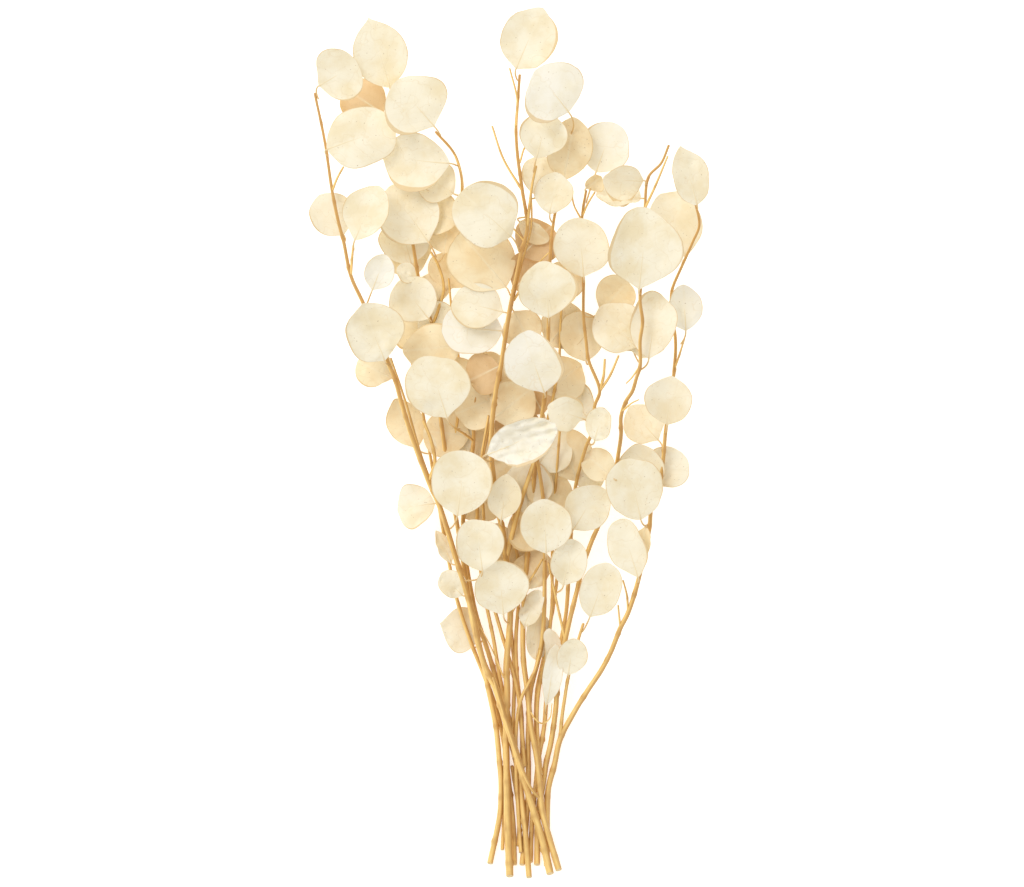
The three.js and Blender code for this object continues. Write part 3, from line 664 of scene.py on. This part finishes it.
# The same facts for a leaf that has no node. Its stalk starts at the wood nearest to a point just
# behind the base, and roll turns the blade about its length.
def plainLeaf(key, base, tip, width, roll, cup, bend):
    base, tip = np.array(base, float) * mm + shifts[key], np.array(tip, float) * mm + shifts[key]
    axis = (tip - base) / np.linalg.norm(tip - base)
    up = np.array([0, 0, 1.0]) - axis * axis[2]
    up /= np.linalg.norm(up)
    roll = math.radians(roll)
    normal = up * math.cos(roll) + np.cross(axis, up) * math.sin(roll)
    lines = woodLines[key]
    gap = np.linalg.norm(lines - base, axis=1)
    back = np.linalg.norm(lines - (base - axis * gap.min() * 0.6), axis=1)
    nearest = np.argmin(gap + 0.6 * back)
    foot = lines[nearest]
    bow = base - axis * 0.45 * np.linalg.norm(base - foot)
    return {"stalk": np.array([foot, (foot + 2 * bow + base) / 4, base]), "base": base, "tip": tip,
            "side": np.cross(normal, axis), "normal": normal, "width": width * mm, "cup": cup * mm,
            "bend": bend * mm}


blade = {
    "rows": 40,            # points from base to tip
    "columns": 29,         # points from rim to rim
    "thickness": 0.45,     # mm
    "dent": 1.1,           # mm, soft dents
    "rimWave": 1.6,        # mm, lift and droop of the rim
    "crease": 0.10,        # slope of the folds
    "curl": 6.5,           # mm, how far a curled rim rises
    "midribEnd": 0.62,     # how far along the blade the midrib shows
    "rimCounts": (2, 3, 4, 5, 7, 11, 17),                              # waves round the outline
    "rimSizes": (0.055, 0.045, 0.03, 0.02, 0.012, 0.006, 0.004),       # as shares of the half width
}


# Half width at each share of the length: a circle with a drawn-out base and a small point at the tip.
def bladeOutline(u, basePull, tipPull):
    circle = np.sqrt(np.clip(4 * u * (1 - u), 0, 1))
    pulled = circle * (1 - basePull * np.exp(-u / (0.05 + 0.06 * basePull)))
    pulled = pulled * (1 - tipPull * np.exp((u - 1) / (0.04 + 0.1 * tipPull)))
    return np.maximum(pulled, 0.03)


# Sum of a few sine waves round the blade; leafShells fades it to nothing at the stalk.
def roundWave(angle, counts, sizes):
    return sum(size * rng.uniform(-1, 1) * np.sin(count * angle + rng.uniform(0, 2 * math.pi))
               for count, size in zip(counts, sizes))


# Height of the blade over its flat outline, in metres. x runs along and y across, in millimetres
# from the middle; reach is 0 at the middle and 1 at the rim. It adds a wave that grows towards the
# rim, one stretch of rim that curls up, two straight folds, and soft dents.
def bladeHeight(x, y, reach, angle, size, shape):
    height = blade["rimWave"] * roundWave(angle, (2, 3, 4, 5), (1, 0.8, 0.5, 0.35)) * reach**2.5
    curlAt, curl = rng.uniform(-2.3, 2.3), rng.uniform(0, 1) ** 2
    curlAt, curl = shape.get("curl", (curlAt, curl))
    turn = np.angle(np.exp(1j * (angle - curlAt)))
    curled = curl * np.clip((reach - 0.55) / 0.45, 0, 1) ** 2 * np.exp(-((turn / 0.75) ** 2))
    height = height + blade["curl"] * size / 22 * curled
    for _ in range(2):
        lean, offset = rng.uniform(0, math.pi), rng.uniform(-0.5, 0.5) * size
        past = x * math.cos(lean) + y * math.sin(lean) - offset
        soft = (past + np.sqrt(past**2 + 1.2)) / 2
        height = height + rng.uniform(-1, 1) * blade["crease"] * soft
    height = height + rng.uniform(0.0, 0.09) * np.sqrt(y**2 + 0.5)
    for _ in range(9):
        atX, atY = rng.uniform(-0.8, 0.8) * size, rng.uniform(-0.8, 0.8) * size
        wide = rng.uniform(0.1, 0.34) * size
        lean, stretch = rng.uniform(0, math.pi), rng.uniform(0.4, 1.8)
        a = (x - atX) * math.cos(lean) + (y - atY) * math.sin(lean)
        b = (y - atY) * math.cos(lean) - (x - atX) * math.sin(lean)
        bump = np.exp(-((a / wide) ** 2 + (b / wide / stretch) ** 2))
        height = height + rng.uniform(-1, 1) * blade["dent"] * bump
    crumple = shape.get("crumple", 0.0)
    for _ in range(6 if crumple else 0):
        lean, pitch = rng.uniform(0, math.pi), rng.uniform(0.22, 0.5)
        ridge = np.abs(np.sin((x * math.cos(lean) + y * math.sin(lean)) * pitch + rng.uniform(0, 6)))
        height = height + 0.9 * crumple * (1 - ridge)
    return height * mm, curled


# A blade as a thin closed shell, with its stalk. Points start on an even sheet of rows and columns,
# and are drawn in to the outline.
def leafShells(leaf, shape):
    rows, columns = blade["rows"], blade["columns"]
    share = (1 - np.cos(np.linspace(0, math.pi, rows))) / 2
    across = np.sin(np.linspace(-math.pi / 2, math.pi / 2, columns) * 0.86) / math.sin(0.43 * math.pi)
    u, v = np.meshgrid(share, across, indexing="ij")
    basePull, tipPull = rng.uniform(0.45, 1.0), rng.uniform(0.0, 0.7) ** 1.3
    outline = bladeOutline(u, shape.get("base", basePull), shape.get("tip", tipPull))
    length, half = np.linalg.norm(leaf["tip"] - leaf["base"]) / mm, leaf["width"] / 2 / mm
    x, y = (u - 0.5) * length, half * outline * v
    angle = np.arctan2(y / half, x / length * 2)
    reach = np.clip(np.sqrt((y / half) ** 2 + (x / length * 2) ** 2), 0, 1)
    hold = np.clip(u / 0.12, 0, 1)
    uneven = roundWave(angle, blade["rimCounts"], blade["rimSizes"]) * hold
    uneven = uneven * min(1, (length + 2 * half) / 90)
    x, y = x * (1 + uneven * reach**2), y * (1 + uneven * reach**2)
    bow = leaf["bend"] * 4 * u * (1 - u) + leaf["cup"] * (outline * v) ** 2
    lift, curled = bladeHeight(x, y, reach, angle, (length + 2 * half) / 4, shape)
    height = bow + hold * lift
    axis = (leaf["tip"] - leaf["base"]) / (length * mm)
    middle = ((leaf["base"] + leaf["tip"]) / 2 + axis * (x * mm)[..., None]
              + leaf["side"] * (y * mm)[..., None] + leaf["normal"] * height[..., None])
    normal = np.cross(np.gradient(middle, axis=1), np.gradient(middle, axis=0))
    normal /= np.maximum(np.linalg.norm(normal, axis=2), 1e-12)[..., None]
    normal *= np.sign((normal * leaf["normal"]).sum(-1))[..., None]
    thin = blade["thickness"] * mm / 2 * (1 - 0.55 * np.abs(v) ** 6)
    top, under = middle + normal * thin[..., None], middle - normal * thin[..., None]
    points = np.vstack([top.reshape(-1, 3), under.reshape(-1, 3)])
    count = rows * columns
    row, column = np.meshgrid(np.arange(rows - 1), np.arange(columns - 1), indexing="ij")
    here = (row * columns + column).ravel()
    faces = [np.stack([here, here + 1, here + columns + 1, here + columns], -1),
             np.stack([here, here + columns, here + columns + 1, here + 1], -1) + count]
    rim = np.concatenate([np.arange(columns - 1), np.arange(rows - 1) * columns + columns - 1,
                          (count - 1) - np.arange(columns - 1), np.arange(rows - 1, 0, -1) * columns])
    ahead = np.roll(rim, -1)
    faces = np.vstack(faces + [np.stack([rim, rim + count, ahead + count, ahead], -1)])
    if (np.cross(leaf["side"], axis) @ leaf["normal"]) < 0:
        faces = faces[:, ::-1]
    # painted shade: a curled rim counts as nearer the rim, so it takes the tan rim colour
    rimShareAndCurlShade = np.maximum(np.abs(v), np.abs(2 * u - 1) ** 4) + 0.2 * curled
    marks = np.stack([y, u * length, rimShareAndCurlShade], -1).reshape(-1, 3)
    shell = {"points": points, "faces": faces.tolist(), "materials": [0] * len(faces),
             "marks": {"bladeSpot": np.vstack([marks, marks])}}
    return [shell, stalkShell(leaf, middle[:, columns // 2])]


stalkRadius = 0.68    # mm
stalkSides = 8


# Stalk from inside the wood to the blade base, along a curve whose middle is pulled to the bow
# point, and carried on as a raised midrib that thins away.
def stalkShell(leaf, midline):
    foot, bow, base = leaf["stalk"]
    share = np.linspace(0, 1, 9)[:-1, None]
    bend = 2 * bow - (foot + base) / 2
    stalk = (1 - share) ** 2 * foot + 2 * share * (1 - share) * bend + share**2 * base
    sunk = foot - (stalk[1] - foot) / np.linalg.norm(stalk[1] - foot) * 1.2 * mm
    end = int(len(midline) * blade["midribEnd"])
    line = np.vstack([sunk, stalk, midline[:end]])
    line, distance = evenRoute(line, 1.5 * mm)
    total = distance[-1]
    start = np.linalg.norm(np.diff(np.vstack([sunk, stalk, base]), axis=0), axis=1).sum()
    along = (distance - start) / mm
    onBlade = np.clip(along * mm / max(total - start, 1e-6), 0, 1)
    radius = mm * np.where(along < 0, stalkRadius, 0.6 * (1 - onBlade) ** 0.8 + 0.06)
    radius[0] *= 0.6
    points, faces = roundSolid(line, radius, stalkSides)
    marks = np.zeros((len(line), stalkSides, 3))
    marks[..., 1] = along[:, None]
    marks = np.vstack([marks.reshape(-1, 3), marks[0, 0], marks[-1, 0]])
    return {"points": points, "faces": faces, "marks": {"bladeSpot": marks},
            "materials": [1] * len(faces)}


# Leaves with a shape of their own: base and tip 0 round to 1 drawn out, curl as angle round the
# blade (0 at the tip) and amount, crumple as a share of the full ridges.
shapes = {
    "leaf_a_1": {"tip": 0.95},
    "leaf_b_6": {"tip": 0.7, "crumple": 0.35},
    "leaf_c_6": {"base": 1.0, "tip": 0.4, "crumple": 1.5},
    "leaf_d_2": {"curl": (-1.5, 1.0)},
    "leaf_e_1": {"curl": (-2.1, 0.9)},
    "leaf_e_4": {"base": 1.0, "tip": 0.0},
    "leaf_f_1": {"base": 0.3, "tip": 0.9},
    "leaf_f_8": {"base": 1.0, "tip": 0.0},
    "leaf_g_1": {"curl": (-1.6, 1.2)},
    "leaf_g_2": {"base": 1.0, "tip": 0.0},
    "leaf_l_2": {"tip": 0.95},
}
toneOf = {entry["node"]: entry["material_slot"] for entry in frame["record"]["subparts"]}
for node in sorted(name for name in frame["nodes"] if name.startswith("leaf_")):
    tone = toneOf[node].replace("leaf_", "")
    shells = leafShells(readLeaf(node), shapes.get(node, {}))
    makePiece("grown_" + node, shells, [leafSkins[tone], stalkSkin], [node])
print("packed leaves ready")

for i, (key, base, tip, width, roll, cup, bend, tone) in enumerate(spareLeaves):
    shells = leafShells(plainLeaf(key, base, tip, width, roll, cup, bend), {})
    makePiece(f"spare_leaf_{i + 1}", shells, [leafSkins[tone], stalkSkin])
print("spare leaves ready")

# Floor, light and camera.
room = {
    "floorSize": 6.0,                  # m
    "floorGlow": 0.5,
    "skyColour": (1.0, 0.975, 0.925, 1),
    "skyStrength": 0.84,
    "keyPower": 135.0,                 # W
    "keySize": 3.0,                    # m
    "keyPlace": (-3.3, 3.3, 5.2),      # m
    "cameraHeight": 8.0,               # m over the middle of the bunch's thickness
    "middleHeight": 0.05,              # m
    "cameraShift": (0.0008, -0.002),   # m, to centre the bunch
    "viewWidth": 0.8192,               # m across the picture
    "sensor": 36.0,                    # mm
}

floorMesh = bpy.data.meshes.new("floor")
half = room["floorSize"] / 2
floorCorners = [(-half, -half, 0), (half, -half, 0), (half, half, 0), (-half, half, 0)]
floorMesh.from_pydata(floorCorners, [], [(0, 1, 2, 3)])
floor = bpy.data.objects.new("floor", floorMesh)
bpy.context.scene.collection.objects.link(floor)
floorMaterial = newMaterial("paleFloor")
floorTree = floorMaterial.node_tree
floorShader = addNode(floorTree, "ShaderNodeBsdfPrincipled", {}, Base_Color=(0.9, 0.9, 0.9, 1),
                      Roughness=0.9, Emission_Color=(1, 1, 1, 1), Emission_Strength=room["floorGlow"])
addNode(floorTree, "ShaderNodeOutputMaterial", {}, Surface=floorShader.outputs[0])
floorMesh.materials.append(floorMaterial)

scene = bpy.context.scene
world = bpy.data.worlds.new("studio")
world.use_nodes = True
sky = world.node_tree.nodes["Background"]
sky.inputs[0].default_value = room["skyColour"]
sky.inputs[1].default_value = room["skyStrength"]
scene.world = world

keyData = bpy.data.lights.new("softKey", "AREA")
keyData.energy, keyData.size = room["keyPower"], room["keySize"]
keyLight = bpy.data.objects.new("softKey", keyData)
keyLight.location = room["keyPlace"]
scene.collection.objects.link(keyLight)
direction = np.array(room["keyPlace"])
keyLight.rotation_euler = (math.acos(direction[2] / np.linalg.norm(direction)), 0,
                           math.atan2(direction[1], direction[0]) + math.pi / 2)

cameraData = bpy.data.cameras.new("camera")
cameraData.sensor_width = room["sensor"]
cameraData.lens = room["sensor"] * room["cameraHeight"] / room["viewWidth"]
cameraData.clip_end = 20.0
camera = bpy.data.objects.new("camera", cameraData)
shift = shifts["c"]
camera.location = (shift[0] + room["cameraShift"][0], shift[1] + room["cameraShift"][1],
                   room["cameraHeight"] + room["middleHeight"])
scene.collection.objects.link(camera)
scene.camera = camera
scene.view_settings.view_transform = "Standard"
print("stage ready")
